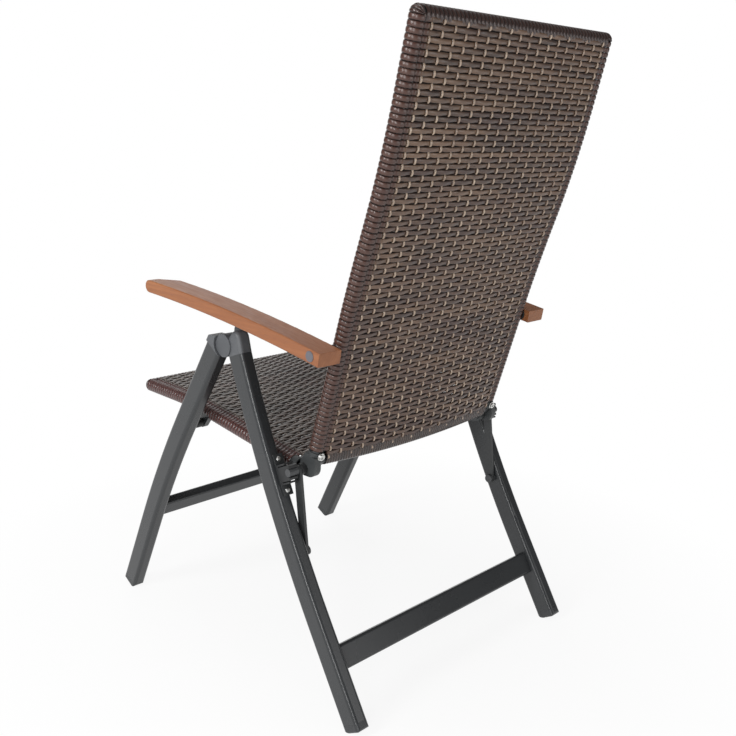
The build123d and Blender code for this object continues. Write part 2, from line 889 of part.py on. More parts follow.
def lug_outline(grow=0):
    root = seat_tube_above(seat_pivot_at)
    ends = [disc(root + polar(side * lug_root * half, 180 - seat_slope), lug_toe + grow)
            for side in (-1, 1)]
    return hull_of(disc(seat_pivot_at, lug_radius + grow), *ends)


def seat_lug():
    """Lug under the seat tube that meets the pivot pin on the front leg."""
    root = seat_tube_above(seat_pivot_at)
    reach = polar(lug_root, 180 - seat_slope)
    above = polar(overrun * half, 90 - seat_slope)
    outline = lug_outline() - bar(root - reach + above, root + reach + above, overrun)
    lug = slab(outline, lug_low, lug_high)
    return lug - swept(seat_path, Circle(frame_radius), frame_half)


def lug_room():
    """Space left free of strands round the lug."""
    return slab(lug_outline(wrap_gap), lug_low - wrap_gap, lug_high + overrun)


def seat_pivot_pin():
    """Pin and bush in the front leg; it stops just short of the seat's lug."""
    pin = rod(seat_pivot_at, pivot_bush_radius, lug_high + side_gap, front_leg_inner)
    return pin + rod(seat_pivot_at, pivot_pin_radius, lug_high + side_gap,
                     front_leg_inner + tube_wide * half)


# Armrests

def arm_face_at(along):
    """The arm's outer face draws in a little towards its rear end."""
    share = (along + arm_tail) / arm_length
    return arm_outer - arm_tail_taper * (1 - share)


def arm_plan():
    """The arm seen from above: straight sides, with the inner corner of the tip cut away."""
    tail = arm.point(-arm_tail).X + arm_thick
    tip = arm.point(arm_length - arm_tail).X
    outline = Polyline((arm_inner, tail), (arm_face_at(-arm_tail), tail), (arm_outer, tip),
                       (arm_outer - arm_tip_keep, tip), (arm_inner, tip + arm_tip_cut_length),
                       close=True)
    return make_face(outline)


def arm_board():
    """Wooden arm: an arched board with a rounded front end and a groove for its rack."""
    tip_round = arm_thick * half
    board = arm.strip(-arm_tail, arm_length - arm_tail - tip_round, arm_under, -arm_under)
    board += disc(arm.point(arm_length - arm_tail - tip_round), tip_round)
    solid = slab(board, arm_inner, arm_outer)
    solid &= extrude(arm_plan(), amount=2 * hinge_height)
    long_edges = [edge for edge in solid.edges() if edge.length > arm_length * half]
    solid = fillet(long_edges, arm_edge)
    groove = arm.strip(rack_rear_along - groove_gap, rack_front_along + groove_gap,
                       arm_under - overrun, arm_under + rack_sunk + groove_gap)
    solid -= slab(groove, rack_low - groove_gap, rack_high + groove_gap)
    face = arm_face_at(0)
    solid -= rod(arm_pivot_at, arm_bolt_radius + running_gap, arm_inner - overrun, face)
    solid -= rod(arm_pivot_at, arm_cap_radius + running_gap, face - arm_cap_thick, face + overrun)
    for at in rack_screw_points():
        solid -= rack_screw_shank(at, running_gap)
    return solid


def arm_bolt():
    """Bolt from inside the back tube through the spacer and the arm, with a round cap."""
    low = frame_half - frame_radius
    face = arm_face_at(0)
    bolt = rod(arm_pivot_at, arm_bolt_radius, low, face)
    return bolt + rod(arm_pivot_at, arm_cap_radius, face - arm_cap_thick, face + arm_cap_proud)


def arm_spacer():
    low = frame_half + wrap_outer + side_gap
    ring = disc(arm_pivot_at, spacer_radius) - disc(arm_pivot_at, arm_bolt_radius + running_gap)
    return slab(ring, low, arm_inner - side_gap)


rack_rear_along = catch_along - rack_lead
rack_front_along = arm.along_at((catch_seen_from_arm(recline_limit) - arm_pivot_at).length,
                                seat_rise) + rack_front


def rack_strip():
    return arm.strip(rack_rear_along, rack_front_along, arm_under - rack_show,
                     arm_under + rack_sunk)


def rack_teeth():
    """Side view of the toothed web: notches above a lane that clears the catch."""
    web = rack_strip()
    for number in range(recline_notches):
        web -= disc(notch_at(number), catch_radius + catch_gap)
    first, middle, last = (catch_seen_from_arm(recline_limit * share) for share in (0, half, 1))
    clear = catch_radius + catch_gap
    lane_top = ThreePointArc(first + Vector(0, clear), middle + Vector(0, clear),
                             last + Vector(0, clear))
    drop = Vector(0, -overrun)
    lane = make_face(lane_top + Line(lane_top @ 1, last + drop) + Line(last + drop, first + drop)
                     + Line(first + drop, lane_top @ 0))
    web -= lane
    for end, way in ((first, 1), (last, -1)):
        web -= disc(end, clear)
        middle = end + Vector(way * (overrun * half - clear), catch_lip - overrun * half)
        web -= Pos(middle.X, middle.Y) * Rectangle(overrun, overrun)
    return web


def rack():
    """Moulded channel under the arm: two side walls and the toothed web between them."""
    body = slab(rack_teeth(), rack_low, rack_high)
    body += slab(rack_strip(), rack_low, rack_low + rack_wall)
    body += slab(rack_strip(), rack_high - rack_wall, rack_high)
    for at in rack_screw_points():
        body -= rack_screw_shank(at, running_gap)
    return body


def rack_screw_points():
    return [rack_rear_along + rack_screw_inset, rack_front_along - rack_screw_inset]


def rack_screw_shank(along, grow=0):
    low = arm.point(along, arm_under + rack_sunk - rack_screw_grip)
    where = Plane(origin=((rack_low + rack_high) * half, low.X, low.Y), z_dir=polar_3d(arm.angle(along)))
    return extrude(where * Circle(rack_screw_radius + grow), amount=rack_screw_grip + rack_screw_bury + grow)


def leg_holes(side_at, radius, leg_low):
    return rod(side_at, radius + running_gap, leg_low - overrun, leg_low + tube_wide * half)


def build():
    """Every named piece, left and right sides made alike."""
    rear_x = rear_leg_outer - tube_wide * half
    front_x = front_leg_outer - tube_wide * half
    rear_tube = leg_tube(rear_leg, rear_x) - leg_holes(link_pin_at, link_pin_radius, rear_leg_inner)
    for at in rivet_points():
        rear_tube -= rivet_shank(at, rivet_radius + running_gap)
    front_tube = leg_tube(front_leg, front_x)
    front_tube -= leg_holes(seat_pivot_at, pivot_pin_radius, front_leg_inner)
    back_tube = frame_loop(back_path, back_hem)
    back_skin = woven_cover(back_path, back_hem, sleeve_length + wrap_gap)
    seat_skin = woven_cover(seat_path, seat_hem, sleeve_length + wrap_gap)
    for room in both_sides(lug_room()).values():
        seat_skin -= room
    for side in (-1, 1):
        low, high = sorted((side * (frame_half - frame_radius - overrun), side * (frame_half + overrun)))
        back_tube -= rod(arm_pivot_at, arm_bolt_radius + running_gap, low, high)
        back_skin -= rod(arm_pivot_at, arm_bolt_radius + wrap_gap, low, high)
    back_tube -= screw_shank(screw_radius + running_gap)
    back_tube -= mirror(screw_shank(screw_radius + running_gap), about=Plane.YZ)

    pieces = {
        "rear_crossbar": cross_rail(rear_leg, rear_rail_height, rear_rail_deep, rear_rail_thick,
                                    rear_leg_inner),
        "front_crossbar": cross_rail(front_leg, front_rail_height, front_rail_deep,
                                     front_rail_thick, front_leg_inner),
        "hinge_pins": pair(hinge_pin()),
        "cradle_rivets": group([item for at in rivet_points()
                                for item in both_sides(rivet(at)).values()]),
        "link_pins": pair(link_pin()),
        "seat_pivot_pins": pair(seat_pivot_pin()),
        "axle_bolts": pair(axle_bolt()),
        "back_frame": back_tube,
        "back_weave": back_skin,
        "seat_frame": frame_loop(seat_path, seat_hem),
        "seat_weave": seat_skin,
        "corner_screws": pair(corner_screw()),
        "arm_pivot_bolts": pair(arm_bolt()),
    }
    handed = {
        "rear_leg": rear_tube,
        "front_leg": front_tube,
        "rear_foot": floor_cap(rear_leg, rear_x),
        "front_foot": floor_cap(front_leg, front_x),
        "rear_leg_head": rear_head(),
        "front_leg_head": front_head(),
        "catch_post": catch_post(),
        "cradle_plate": cradle_plate(),
        "cradle_block": cradle_block(),
        "fold_link": link(),
        "axle_bush": axle_bush(),
        "back_corner": back_fitting(),
        "seat_corner": seat_fitting(),
        "seat_lug": seat_lug(),
        "arm_spacer": arm_spacer(),
        "armrest": arm_board(),
        "armrest_rack": rack(),
    }
    for name, piece in handed.items():
        for side, solid in both_sides(piece).items():
            pieces[name + "_" + side] = solid
    screws = group([rack_screw_shank(at) for at in rack_screw_points()])
    for side, solid in both_sides(screws).items():
        pieces["rack_screws_" + side] = solid
    return pieces


def footprint_shift(pieces):
    """The move that puts the middle of the chair's depth at the origin."""
    boxes = [piece.bounding_box() for piece in pieces.values()]
    return -(min(box.min.Y for box in boxes) + max(box.max.Y for box in boxes)) * half


if __name__ == "__main__":
    os.makedirs("parts", exist_ok=True)
    pieces = build()
    shift = footprint_shift(pieces)
    for name, piece in pieces.items():
        export_step(Pos(0, shift, 0) * piece, "parts/" + name + ".step")
    for name, spot in {"hinge": hinge_at, "axle": axle_at, "link_pin": link_pin_at,
                       "seat_pivot": seat_pivot_at, "arm_pivot": arm_pivot_at,
                       "catch": catch_at}.items():
        print(name, round(spot.X + shift, 3), round(spot.Y, 3))
    print("arm_level_ratio", round(arm_level_ratio, 5), "shift", round(shift, 3))
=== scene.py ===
import bpy
import json
import math
import numpy as np
from mathutils import Matrix, Vector


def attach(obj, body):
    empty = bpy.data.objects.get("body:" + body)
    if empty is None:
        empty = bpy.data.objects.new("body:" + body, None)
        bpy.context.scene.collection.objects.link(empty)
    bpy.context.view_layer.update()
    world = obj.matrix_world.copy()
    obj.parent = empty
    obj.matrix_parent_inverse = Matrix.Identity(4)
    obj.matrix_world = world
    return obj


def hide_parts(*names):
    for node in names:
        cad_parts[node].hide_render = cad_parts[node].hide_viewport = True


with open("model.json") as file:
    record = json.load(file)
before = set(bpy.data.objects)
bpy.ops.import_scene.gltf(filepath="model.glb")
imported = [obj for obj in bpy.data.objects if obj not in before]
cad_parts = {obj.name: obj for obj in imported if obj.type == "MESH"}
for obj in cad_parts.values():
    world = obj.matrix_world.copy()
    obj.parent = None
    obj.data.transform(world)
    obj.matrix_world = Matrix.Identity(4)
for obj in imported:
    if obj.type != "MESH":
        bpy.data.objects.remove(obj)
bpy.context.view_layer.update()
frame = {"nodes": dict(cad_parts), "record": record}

# Blender works in metres. The values below are in millimetres and degrees, apart from the clip
# distances, the floor, the lamps and the depths and radii of materials, which are in metres
MM = 0.001
# The part's source moves the chair back by this much, so that its footprint is centred
FOOTPRINT_SHIFT = 5.048

# Camera that was fitted to the photo. Focal length and middle are in pixels of the photo
PICTURE = 736.0
FOCAL_LENGTH = 901.7505
MIDDLE_ACROSS = 366.766
MIDDLE_DOWN = 379.4086
CAMERA_AZIMUTH = 135.6790
CAMERA_ELEVATION = 15.4202
CAMERA_ROLL_RADIANS = 0.0184136
CAMERA_PLACE = (1129.88, 1208.77 + FOOTPRINT_SHIFT, 931.30)
SENSOR = 36.0
CLIP_START = 0.05
CLIP_END = 60.0

# Linear colours. A pair is the darker and the paler tone of one surface
FRAME_TONES = ((0.023, 0.025, 0.027), (0.027, 0.029, 0.031))
FITTING_TONES = ((0.019, 0.020, 0.021), (0.027, 0.029, 0.030))
HEAD_TONES = ((0.068, 0.072, 0.078), (0.086, 0.090, 0.097))
BLACK_TONES = ((0.012, 0.0125, 0.013), (0.02, 0.021, 0.022))
CORNER_TONES = ((0.028, 0.031, 0.032), (0.044, 0.047, 0.048))
DARK_STEEL_TONES = ((0.04, 0.042, 0.044), (0.055, 0.057, 0.06))
CAP_TONES = ((0.09, 0.086, 0.100), (0.12, 0.116, 0.132))
FOOT_TONES = ((0.023, 0.025, 0.027), (0.029, 0.031, 0.034))
ZINC = (0.72, 0.72, 0.70)
WOOD_TONES = ((0.205, 0.066, 0.021), (0.29, 0.105, 0.036), (0.355, 0.140, 0.053))
WOOD_RING = (0.20, 0.066, 0.024)
WOOD_STREAK = (0.24, 0.088, 0.034)
WOOD_PORE = (0.16, 0.06, 0.028)

# Strands have a darker, a paler and a reddish tone, and one dark tone of painted shade in the grooves
# between them
BACK_CROSS_TONES = ((0.034, 0.015, 0.009), (0.160, 0.092, 0.054), (0.052, 0.019, 0.014))
BACK_UPRIGHT_TONES = ((0.29, 0.205, 0.145), (0.50, 0.385, 0.285), (0.22, 0.12, 0.085))
SEAT_CROSS_TONES = ((0.038, 0.029, 0.024), (0.120, 0.096, 0.080), (0.070, 0.020, 0.018))
SEAT_UPRIGHT_TONES = ((0.07, 0.057, 0.049), (0.16, 0.136, 0.118), (0.09, 0.05, 0.04))
WRAP_TONES = ((0.020, 0.010, 0.008), (0.060, 0.033, 0.023), (0.034, 0.012, 0.009))
PAINTED_GROOVE_SHADE = (0.006, 0.003, 0.0025)

# The axis of the chair that a strand's fine lines run along
ACROSS, FORWARD, UP = 0, 1, 2

# Ranges of a value: all of it, and the middle that most noise falls in
WHOLE = (0.0, 1.0)
NOISE_MIDDLE = (0.3, 0.7)


def toned(colour, gain):
    """A colour times a gain."""
    return [value * gain for value in colour]


# Camera

def add_camera():
    """The camera of the photo."""
    azimuth, elevation = math.radians(CAMERA_AZIMUTH), math.radians(CAMERA_ELEVATION)
    toward = Vector((math.sin(azimuth) * math.cos(elevation),
                     -math.cos(azimuth) * math.cos(elevation), math.sin(elevation)))
    forward = -toward
    level = forward.cross(Vector((0, 0, 1))).normalized()
    upright = level.cross(forward)
    cosine, sine = math.cos(CAMERA_ROLL_RADIANS), math.sin(CAMERA_ROLL_RADIANS)
    turn = Matrix((level * cosine + upright * sine, upright * cosine - level * sine, toward))
    camera = bpy.data.cameras.new("camera")
    camera.sensor_width = SENSOR
    camera.lens = SENSOR * FOCAL_LENGTH / PICTURE
    camera.shift_x = (PICTURE / 2 - MIDDLE_ACROSS) / PICTURE
    camera.shift_y = (MIDDLE_DOWN - PICTURE / 2) / PICTURE
    camera.clip_start = CLIP_START
    camera.clip_end = CLIP_END
    holder = bpy.data.objects.new("camera", camera)
    bpy.context.scene.collection.objects.link(holder)
    holder.matrix_world = Matrix.Translation(Vector(CAMERA_PLACE) * MM) @ turn.transposed().to_4x4()
    bpy.context.scene.camera = holder


# Materials

class Nodes:
    """Short hand for building one material."""

    def __init__(self, name):
        self.material = bpy.data.materials.new(name)
        self.material.use_nodes = True
        self.tree = self.material.node_tree
        self.tree.nodes.clear()
        self.out = self.add("ShaderNodeOutputMaterial")
        self.shader = self.add("ShaderNodeBsdfPrincipled")
        self.link(self.shader.outputs[0], self.out.inputs[0])
        self.coords = self.add("ShaderNodeTexCoord").outputs["Object"]

    def add(self, kind, **values):
        """A new node with some of its settings."""
        node = self.tree.nodes.new(kind)
        for key, value in values.items():
            setattr(node, key, value)
        return node

    def link(self, start, end):
        """A link from an output to an input."""
        self.tree.links.new(start, end)

    def put(self, socket, value):
        """Links or sets an input, which may be a number or a colour."""
        if isinstance(value, bpy.types.NodeSocket):
            self.link(value, socket)
        elif isinstance(value, (int, float)):
            socket.default_value = value
        else:
            socket.default_value = tuple(value) + (1.0,)

    def scaled(self, scale, turn=(0, 0, 0)):
        """Object coordinates times a scale, which is one number or three."""
        node = self.add("ShaderNodeMapping")
        node.inputs["Scale"].default_value = (scale,) * 3 if isinstance(scale, (int, float)) else scale
        node.inputs["Rotation"].default_value = turn
        self.link(self.coords, node.inputs["Vector"])
        return node.outputs[0]

    def noise(self, scale, detail, rough=0.55, distort=0.0):
        """Noise over the object's coordinates times a scale."""
        vector = self.scaled(scale)
        node = self.add("ShaderNodeTexNoise")
        node.inputs["Scale"].default_value = 1.0
        node.inputs["Detail"].default_value = detail
        node.inputs["Roughness"].default_value = rough
        node.inputs["Distortion"].default_value = distort
        self.link(vector, node.inputs["Vector"])
        return node.outputs["Fac"]

    def ramp(self, value, stops):
        """Colours at places along a value."""
        node = self.add("ShaderNodeValToRGB")
        elements = node.color_ramp.elements
        while len(elements) < len(stops):
            elements.new(0.5)
        for element, (place, colour) in zip(elements, stops):
            element.position = place
            element.color = tuple(colour) + (1.0,)
        self.link(value, node.inputs[0])
        return node.outputs[0]

    def mix(self, factor, first, second):
        """A mix of two colours."""
        node = self.add("ShaderNodeMix", data_type="RGBA")
        self.put(node.inputs[0], factor)
        self.put(node.inputs[6], first)
        self.put(node.inputs[7], second)
        return node.outputs[2]

    def span(self, value, source, target=(0.0, 1.0)):
        """A value moved from one range to another and held inside it."""
        node = self.add("ShaderNodeMapRange")
        node.inputs["From Min"].default_value = source[0]
        node.inputs["From Max"].default_value = source[1]
        node.inputs["To Min"].default_value = target[0]
        node.inputs["To Max"].default_value = target[1]
        self.link(value, node.inputs["Value"])
        return node.outputs["Result"]

    def bump(self, height, distance, strength, normal=None):
        """A bumpy normal, on top of another one if it is given."""
        node = self.add("ShaderNodeBump")
        node.inputs["Strength"].default_value = strength
        node.inputs["Distance"].default_value = distance
        self.link(height, node.inputs["Height"])
        if normal is not None:
            self.link(normal, node.inputs["Normal"])
        return node.outputs[0]

    def edge(self, radius):
        """A normal that rounds sharp edges."""
        node = self.add("ShaderNodeBevel", samples=4)
        node.inputs["Radius"].default_value = radius
        return node.outputs[0]

    def done(self, colour, rough, normal, metal=0.0, coat=0.0, coat_rough=0.2):
        """The finished material."""
        self.put(self.shader.inputs["Base Color"], colour)
        self.put(self.shader.inputs["Roughness"], rough)
        self.shader.inputs["Metallic"].default_value = metal
        self.shader.inputs["Coat Weight"].default_value = coat
        self.shader.inputs["Coat Roughness"].default_value = coat_rough
        self.link(normal, self.shader.inputs["Normal"])
        return self.material


def powder_coat(name, tones, rough):
    """Baked powder coat: an even grey with a fine orange-peel surface."""
    cloud_scale, peel_scale, speck_scale = 9, 900, 2600
    peel_depth, peel_strength, edge_radius = 0.00005, 0.25, 0.0006
    speck_range, most_speck, speck_gain = (0.62, 0.75), 0.35, 1.5
    rough_range = (rough - 0.01, rough + 0.02)
    low, high = tones
    nodes = Nodes(name)
    cloud = nodes.noise(cloud_scale, detail=4)
    peel = nodes.noise(peel_scale, detail=2)
    speck = nodes.noise(speck_scale, detail=1)
    colour = nodes.mix(nodes.span(cloud, NOISE_MIDDLE), low, high)
    colour = nodes.mix(nodes.span(speck, speck_range, (0, most_speck)), colour, toned(high, speck_gain))
    normal = nodes.bump(peel, peel_depth, peel_strength, nodes.edge(edge_radius))
    return nodes.done(colour, nodes.span(cloud, NOISE_MIDDLE, rough_range), normal)


def moulded(name, tones, rough):
    """Moulded plastic with a fine spark-eroded grain and faint flow marks."""
    cloud_scale, grain_scale = 30, 1400
    cloud_range = (0.32, 0.68)
    grain_depth, grain_strength, edge_radius = 0.0002, 0.3, 0.0008
    rough_range = (rough - 0.08, rough + 0.08)
    nodes = Nodes(name)
    cloud = nodes.noise(cloud_scale, detail=4)
    grain = nodes.noise(grain_scale, detail=3)
    colour = nodes.mix(nodes.span(cloud, cloud_range), *tones)
    normal = nodes.bump(grain, grain_depth, grain_strength, nodes.edge(edge_radius))
    return nodes.done(colour, nodes.span(grain, NOISE_MIDDLE, rough_range), normal)


def zinc_plated(name, colour, rough):
    """Zinc-plated steel with fine turning marks and small stains."""
    mark_scale, stain_scale = (400, 3000, 3000), 220
    mark_depth, mark_strength, edge_radius = 0.0001, 0.3, 0.0004
    stain_range, most_stain, stain_gain = (0.45, 0.8), 0.6, 0.55
    dull_range, rough_range = (0.3, 0.8), (rough, rough + 0.15)
    nodes = Nodes(name)
    marks = nodes.noise(mark_scale, detail=3)
    stain = nodes.noise(stain_scale, detail=3)
    shade = nodes.mix(nodes.span(stain, stain_range, (0, most_stain)), colour, toned(colour, stain_gain))
    normal = nodes.bump(marks, mark_depth, mark_strength, nodes.edge(edge_radius))
    return nodes.done(shade, nodes.span(stain, dull_range, rough_range), normal, metal=1.0)


def hardwood(name):
    """Oiled reddish hardwood, its grain along the arm."""
    slow_scale, ring_scale, ring_turn = (26, 1.6, 30), (7, 0.45, 8), (0, 0.5, 0.02)
    streak_scale, pore_scale = (320, 5, 320), (1500, 45, 1500)
    tone_places = (0.25, 0.5, 0.75)
    most_ring = 0.35
    streak_range, most_streak = (0.45, 0.75), 0.45
    pore_range, most_pore = (0.60, 0.72), 0.75
    pore_depth, pore_strength, edge_radius = 0.00025, -0.35, 0.0012
    rough_range, oil, oil_rough = (0.42, 0.58), 0.12, 0.35
    nodes = Nodes(name)
    slow = nodes.noise(slow_scale, detail=5, rough=0.6, distort=0.6)
    rings = nodes.add("ShaderNodeTexWave", wave_type="BANDS", bands_direction="X", wave_profile="SIN")
    rings.inputs["Scale"].default_value = 9.0
    rings.inputs["Distortion"].default_value = 5.0
    rings.inputs["Detail"].default_value = 3.0
    rings.inputs["Detail Scale"].default_value = 1.1
    nodes.link(nodes.scaled(ring_scale, ring_turn), rings.inputs["Vector"])
    pores = nodes.noise(pore_scale, detail=2, rough=0.5)
    streak = nodes.noise(streak_scale, detail=3)
    colour = nodes.ramp(slow, tuple(zip(tone_places, WOOD_TONES)))
    colour = nodes.mix(nodes.span(rings.outputs["Fac"], WHOLE, (0, most_ring)), colour, WOOD_RING)
    colour = nodes.mix(nodes.span(streak, streak_range, (0, most_streak)), colour, WOOD_STREAK)
    colour = nodes.mix(nodes.span(pores, pore_range, (0, most_pore)), colour, WOOD_PORE)
    normal = nodes.bump(pores, pore_depth, pore_strength, nodes.edge(edge_radius))
    roughness = nodes.span(streak, NOISE_MIDDLE, rough_range)
    return nodes.done(colour, roughness, normal, coat=oil, coat_rough=oil_rough)


def drawn_out(scale, lengthwise, axis):
    """Three noise scales, with another one along one axis."""
    return tuple(lengthwise if number == axis else scale for number in range(3))


def strand(name, tones, rough, axis, coat=0.0):
    """Extruded plastic strand: its tones and its painted groove shade come with the mesh, its fine lines
    run along it.
    """
    line_scale, blotch_scale, wide_scale = drawn_out(2400, 70, axis), drawn_out(150, 45, axis), 14
    line_depth, line_strength = 0.00018, 0.35
    blotch_tones = (-0.35, 0.35)
    red_range, most_red = (0.25, 1.0), 0.9
    wide_range, most_wide = (0.52, 0.7), 0.35
    line_range, most_line, line_gain = (0.5, 0.8), 0.25, 1.3
    painted_light_range, painted_shade_shares = (0.1, 0.8), (1.0, 0.0)
    rough_range = (rough - 0.06, rough + 0.08)
    low, high, red = tones
    nodes = Nodes(name)
    kept = nodes.add("ShaderNodeAttribute", attribute_name="strand")
    parts = nodes.add("ShaderNodeSeparateColor")
    nodes.link(kept.outputs["Color"], parts.inputs[0])
    lines = nodes.noise(line_scale, detail=2)
    blotch = nodes.noise(blotch_scale, detail=4, rough=0.6)
    wide = nodes.noise(wide_scale, detail=3)
    tone = nodes.add("ShaderNodeMath", operation="ADD")
    nodes.link(nodes.span(blotch, NOISE_MIDDLE, blotch_tones), tone.inputs[0])
    nodes.link(parts.outputs["Green"], tone.inputs[1])
    colour = nodes.mix(nodes.span(tone.outputs[0], WHOLE), low, high)
    colour = nodes.mix(nodes.span(parts.outputs["Blue"], red_range, (0, most_red)), colour, red)
    colour = nodes.mix(nodes.span(wide, wide_range, (0, most_wide)), colour, red)
    colour = nodes.mix(nodes.span(lines, line_range, (0, most_line)), colour, toned(high, line_gain))
    # Painted shade: the light share kept per point darkens the grooves between strands toward one dark tone
    colour = nodes.mix(nodes.span(parts.outputs["Red"], painted_light_range, painted_shade_shares), colour, PAINTED_GROOVE_SHADE)
    normal = nodes.bump(lines, line_depth, line_strength)
    return nodes.done(colour, nodes.span(blotch, NOISE_MIDDLE, rough_range), normal, coat=coat)


def paint_parts():
    """Gives each CAD node the material of its slot, and the floor caps one of their own."""
    made = {
        "frame_paint": powder_coat("powder_coat_grey", FRAME_TONES, 0.27),
        "fitting_paint": powder_coat("powder_coat_fittings", FITTING_TONES, 0.38),
        "head_plastic": moulded("head_plastic_grey", HEAD_TONES, 0.5),
        "black_plastic": moulded("fittings_black_plastic", BLACK_TONES, 0.5),
        "corner_plastic": moulded("corner_plastic_grey", CORNER_TONES, 0.45),
        "dark_steel": powder_coat("dark_steel", DARK_STEEL_TONES, 0.38),
        "bright_steel": zinc_plated("zinc_steel", ZINC, 0.28),
        "cap_grey": moulded("cap_plastic_grey", CAP_TONES, 0.45),
        "arm_wood": hardwood("oiled_hardwood"),
        "foot": moulded("foot_plastic_grey", FOOT_TONES, 0.4),
    }
    for part in frame["record"]["subparts"]:
        key = "foot" if "_foot_" in part["node"] else part["material_slot"]
        if key not in made:
            continue
        shown = frame["nodes"][part["node"]]
        if not shown.material_slots:
            shown.data.materials.append(made[key])
        for place in shown.material_slots:
            place.material = made[key]


# Woven panels

class Walk:
    """A line in the side view, made of straight stretches and long bends."""

    def __init__(self, start, angle, stretches):
        """Each stretch has a length and the angle that it turns by."""
        self.legs = []
        y, z = start
        for length, turn in stretches:
            self.legs.append((y, z, angle, length, turn))
            y, z, angle = self.step(y, z, angle, length, turn, length)
        self.end = (y, z, angle)
        self.length = sum(length for length, turn in stretches)

    @staticmethod
    def step(y, z, angle, length, turn, run):
        """Place and angle after a run along one stretch."""
        start = math.radians(angle)
        if turn == 0:
            return y + run * math.cos(start), z + run * math.sin(start), angle
        bend = math.radians(turn) / length
        end = start + bend * run
        return (y + (math.sin(end) - math.sin(start)) / bend,
                z - (math.cos(end) - math.cos(start)) / bend, math.degrees(end))

    def at(self, run):
        """Place and angle after a run along the whole line, which goes straight on at its end."""
        for y, z, angle, length, turn in self.legs:
            if run <= length:
                return self.step(y, z, angle, length, turn, run)
            run -= length
        return self.step(*self.end, 1.0, 0, run)

    def frame_at(self, run):
        """Place, direction and outward direction there, each as a (y, z) pair."""
        y, z, angle = self.at(run)
        way = (math.cos(math.radians(angle)), math.sin(math.radians(angle)))
        return (y, z), way, (way[1], -way[0])


# Middle lines of the bent tubes, as the part's source has them
BACK = Walk((159.677 + FOOTPRINT_SHIFT, 415.153), 73.2, ((200, 0), (193, -3.2), (200, 6.4), (100, 0)))
SEAT = Walk((122.213 + FOOTPRINT_SHIFT, 390.941), 173.1, ((300, 0), (67.44, 6.9), (96, 0)))
FRAME_HALF = 220.5

# Rows and uprights, counted and measured in the photo
BACK_ROWS = 82
SEAT_ROWS = 59
FIRST_BACK_ROW = 1
UPRIGHTS = 18
UPRIGHT_PITCH = 23.85
COLUMNS = (np.arange(UPRIGHTS) - (UPRIGHTS - 1) / 2) * UPRIGHT_PITCH

# How far out the middle of a strand lies, on a tube and in the panel
TUBE_REACH = 11.35
PANEL_REACH = 10.9
UPRIGHT_RISE = 0.6

# Cross strands: thickness, heights over and under the uprights, and how they tuck in by the tubes
CROSS_THICK = 1.25
CROSS_OVER, CROSS_UNDER = 0.75, -1.05
CROSS_STEPS = 6
TUCK_PLACES = (FRAME_HALF, 213.0, 207.5)
TUCK_HEIGHTS = (0.35, -2.4, -0.6)
# Band by the tubes: the darker reddish tone, the wraps' own hue plus painted shade in the tuck dip
BAND_START, BAND_WIDTH = 203.0, 7.0

# The rows nearest to the lower corners end at the corner fittings and are not wrapped
SLEEVE_LENGTH = 14.6
SLEEVE_SHARE = 0.4
SLEEVE_REACH = 207.0
SLEEVE_HEIGHT = -1.2

# Uprights
UPRIGHT_WIDTH, UPRIGHT_THICK = 4.0, 0.8
UPRIGHT_OVER, UPRIGHT_UNDER, UPRIGHT_END = 0.95, -1.75, -1.0
UPRIGHT_STEPS = 5

# A strand steps between two heights over the middle of the way between them
EASE_START_SHARE, EASE_SHARE = 0.18, 0.64

# Section of a strand, as shares of its pitch and its thickness, and how much painted light each point
# gets, from none in a groove, which is painted in full shade, to one on top
SECTION_SHARES = ((-0.62, -0.75), (-0.44, -0.25), (-0.40, 0.45), (-0.25, 0.86), (0.0, 1.0), (0.25, 0.86),
                  (0.40, 0.45), (0.44, -0.25), (0.62, -0.75), (0.36, -1.15), (-0.36, -1.15))
PAINTED_LIGHT_SHARES = (0.0, 0.0, 0.5, 0.92, 1.0, 0.92, 0.5, 0.0, 0.0, 0.8, 0.8)
# Uprights get at least this share of painted light, so their grooves are painted less dark
UPRIGHT_LEAST_PAINTED_LIGHT = 0.4

# Wraps round the tubes are a little wider than their pitch and sink no deeper than their floor share
WRAP_WIDTH_SHARE = 1.04
WRAP_FLOOR_SHARE = -0.08
WRAP_ANGLE = 288
WRAP_STEPS = 20
RAIL_PITCH = 8.5
RAIL_POINTS = 41
TURN_STEPS = 20

# Wrapped lower rails: place along the panel and outwards, half length, radius and strand
HEM_HALF = 206.5
HEM_OUT = 4.0
HEM_PITCH = 5.6
HEM_THICK = 1.3
BACK_HEM_RUN, BACK_HEM_RADIUS = -3.0, 8.0
SEAT_HEM_RUN, SEAT_HEM_RADIUS = 6.0, 7.3
BACK_HEM_STRETCH = 7.5
SLIDE_SLOPE = 1.6

# The back's lower edge bows outwards and down, and the bow fades out up the panel
BOW_OUT, BOW_DOWN = 9.0, 4.0
BOW_START, BOW_LENGTH = -5.0, 165.0

# Fans of strands over the far corners. The arc is in degrees
FAN_SLICES = 3
FAN_ARC = (-4, 184)
FAN_STEPS = 24

# Small irregularities and tones
WOBBLE = 0.12
WOBBLE_LENGTH = 55.0
WOBBLE_PHASES = 30
UPRIGHT_OFFSET = 0.2
TONE_SPREAD = 0.12
CROSS_KNOTS, UPRIGHT_KNOTS = 9, 7
HUE_SHARE = 0.5
BACK_WARMTH, SEAT_WARMTH = 0.3, 0.0
RAIL_RED, BACK_HEM_RED, SEAT_HEM_RED, FAN_RED = 0.85, 0.2, 0.5, 0.8
FAN_TONE = 0.5
BACK_SEED, SEAT_SEED, WRAP_SEED = 3, 5, 11


